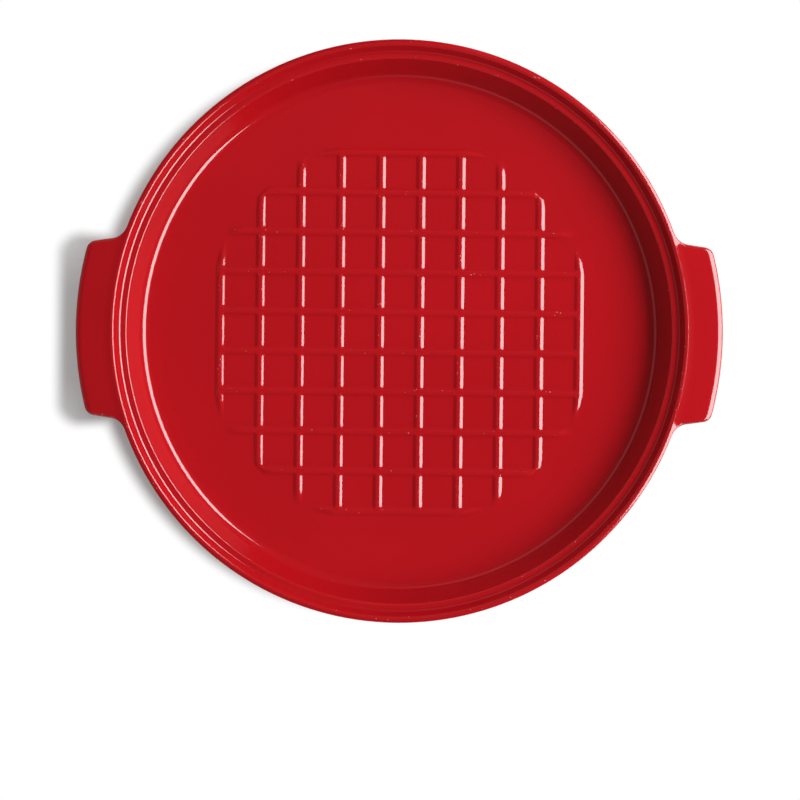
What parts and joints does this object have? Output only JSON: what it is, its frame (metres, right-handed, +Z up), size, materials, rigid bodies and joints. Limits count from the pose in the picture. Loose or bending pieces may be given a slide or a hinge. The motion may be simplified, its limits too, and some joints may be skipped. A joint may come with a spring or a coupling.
{
  "type": "bread cloche",
  "caption": "Red glazed stoneware bread cloche: shallow round base with a rebated rim, two side lugs and a ridged baking floor, and a domed bell lid with a flat knob.",
  "frame": {"origin": "centre of the base's foot ring, on the surface that the base stands on", "axes": "+Z up, X through the two lugs, +Y towards the bell where it is laid down"},
  "size_m": [0.365, 0.7007, 0.138],
  "materials": {
    "base_glaze": "gloss red glaze on stoneware, bare clay on the foot ring",
    "lid_glaze": "gloss red glaze on stoneware, bare clay on the foot"
  },
  "bodies": {
    "base": {"base": "base_glaze"},
    "lid": {"lid": "lid_glaze"}
  },
  "joints": [
    {"name": "lid_turn_over", "type": "hinge", "parent": "base", "child": "lid", "pos_m": [0, 0.1902, 0.0826], "axis": [1, 0, 0], "range_deg": [0, 180]}
  ]
}
